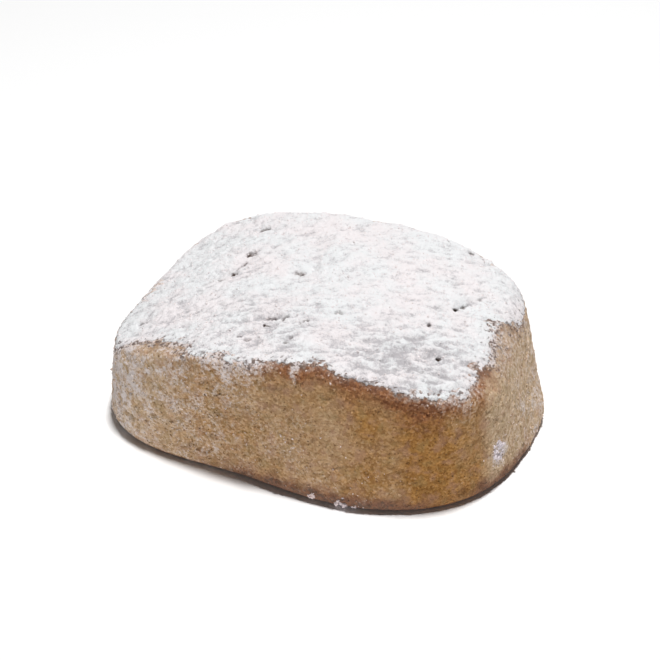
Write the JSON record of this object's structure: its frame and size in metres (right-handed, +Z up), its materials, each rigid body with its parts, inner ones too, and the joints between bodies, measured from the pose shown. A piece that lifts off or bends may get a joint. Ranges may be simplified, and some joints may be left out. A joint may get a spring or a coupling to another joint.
{
  "type": "polvoron shortbread biscuit",
  "caption": "Oblong crumbly almond shortbread, browned at the edge, with its top covered in icing sugar.",
  "frame": {"origin": "middle of the base, on the surface the biscuit rests on", "axes": "+Z up, +X along the biscuit's length towards its rounder, barer end, +Y across it towards the back"},
  "size_m": [0.06, 0.0452, 0.0206],
  "materials": {
    "baked_dough": "matt crumbly baked dough, tan, toasted darker brown just under the top edge",
    "icing_sugar": "matt white powder, fine grained and lumpy"
  },
  "bodies": {
    "root": {"polvoron": "baked_dough"}
  },
  "joints": []
}
